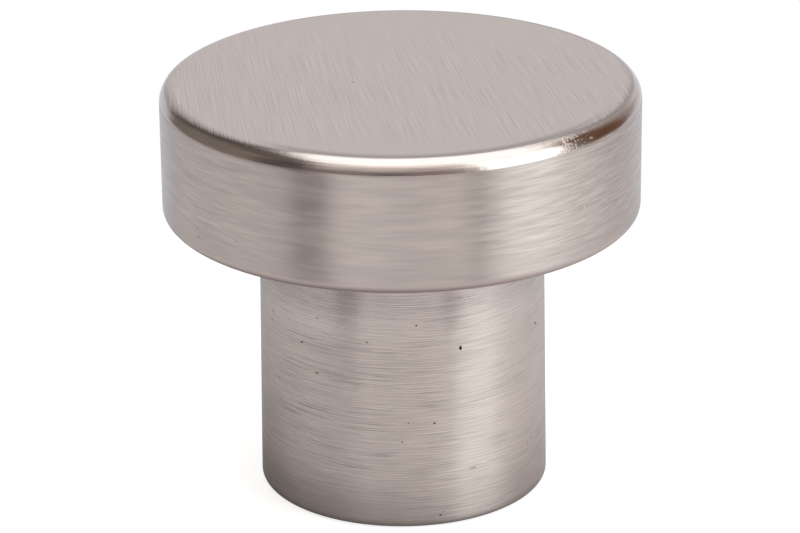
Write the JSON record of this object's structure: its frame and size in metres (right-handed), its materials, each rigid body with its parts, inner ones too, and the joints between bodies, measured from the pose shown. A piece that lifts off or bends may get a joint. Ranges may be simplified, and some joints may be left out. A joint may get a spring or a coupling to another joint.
{
  "type": "cabinet knob",
  "caption": "Round cabinet knob with a thick flat disc head on a plain stem, in brushed nickel, with a tapped screw hole in its flat foot.",
  "frame": {"origin": "centre of the stem's foot, on the plane that meets the door or drawer front", "axes": "+Z along the knob's axis from the foot to the top of the head; X and Y are alike, because the knob is round"},
  "size_m": [0.03, 0.03, 0.0264],
  "materials": {
    "brushed_nickel": "satin brushed nickel: straight grain across the top, grain running round the sides, polished top edge"
  },
  "bodies": {
    "root": {"knob": "brushed_nickel"}
  },
  "joints": []
}
